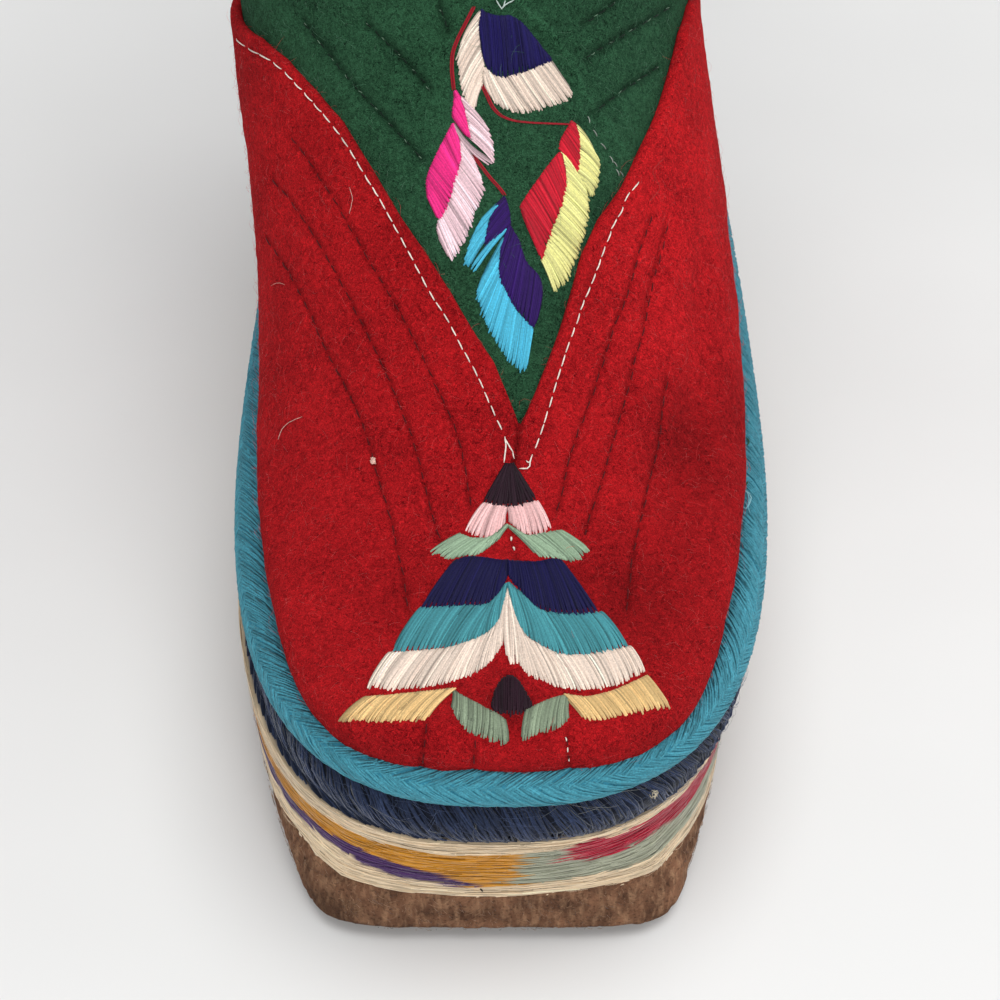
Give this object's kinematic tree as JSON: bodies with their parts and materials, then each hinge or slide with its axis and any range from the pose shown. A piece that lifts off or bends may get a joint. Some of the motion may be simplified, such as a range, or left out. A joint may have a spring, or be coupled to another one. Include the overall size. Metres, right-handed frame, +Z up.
{
  "type": "felt boot",
  "caption": "Soft felt boot with a red vamp cut to a V over a green instep and shaft, a turquoise cord round its edge and a thick hide sole wound with coloured yarn.",
  "frame": {"origin": "on the floor, under the middle of the boot's box", "axes": "+Z up along the shaft, -Y towards the toe, +X towards the outer side of the foot"},
  "size_m": [0.1106, 0.264, 0.2873],
  "materials": {
    "hide": "rough suede",
    "yarn": "plied wool yarn",
    "felt_undyed": "plain felt",
    "felt_green": "fulled felt",
    "felt_red": "fulled felt",
    "wool_navy": "fuzzy wool braid",
    "cotton_turquoise": "braided cord"
  },
  "bodies": {
    "root": {"outsole": "hide", "midsole": "yarn", "insole": "felt_undyed", "upper": "felt_green", "vamp": "felt_red", "welt_braid": "wool_navy", "edging_cord": "cotton_turquoise"}
  },
  "joints": []
}
